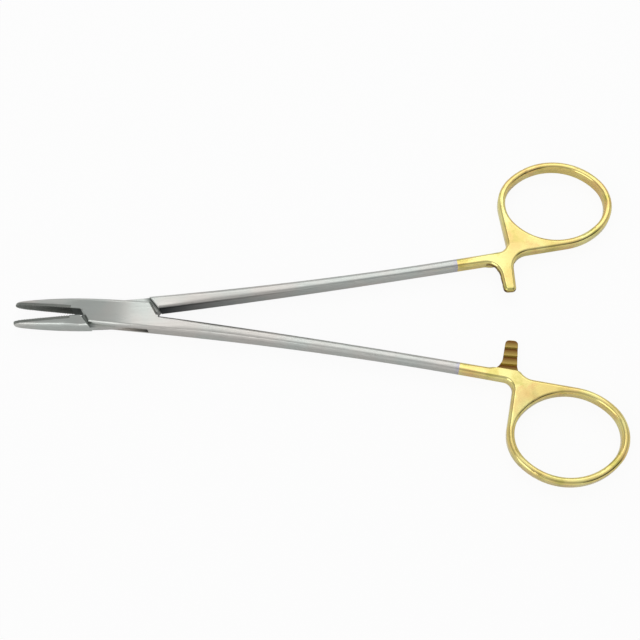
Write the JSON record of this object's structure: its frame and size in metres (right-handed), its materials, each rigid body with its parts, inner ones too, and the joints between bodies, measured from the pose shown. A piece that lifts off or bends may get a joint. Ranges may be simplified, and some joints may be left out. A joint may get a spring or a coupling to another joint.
{
  "type": "surgical needle holder",
  "caption": "Scissor-handled needle holder with a box lock, straight tapered jaws with cross-cut carbide inserts, slim shanks, a finger ratchet and gilt oval rings.",
  "frame": {"origin": "on the underside of the box lock, on the axis of the pivot pin", "axes": "+X from the pin to the rings along the centre line between the two shanks, +Y towards the ring of the male half, +Z along the pin, away from the surface on which the tool lies"},
  "size_m": [0.1788, 0.1002, 0.0056],
  "materials": {
    "steel": "satin stainless steel, plated with gold from just ahead of the ratchet arms to the rings",
    "pin_steel": "satin, riveted and ground flush",
    "carbide": "dark grey sintered tungsten carbide, cut with crossed grooves"
  },
  "bodies": {
    "female": {"female_half": "steel", "pivot_pin": "pin_steel", "upper_jaw_insert": "carbide"},
    "male": {"male_half": "steel", "lower_jaw_insert": "carbide"}
  },
  "joints": [
    {"name": "box_lock", "type": "hinge", "parent": "female", "child": "male", "pos_m": [0, 0, 0.0028], "axis": [0, 0, 1], "range_deg": [-8.9, 51.1]}
  ]
}
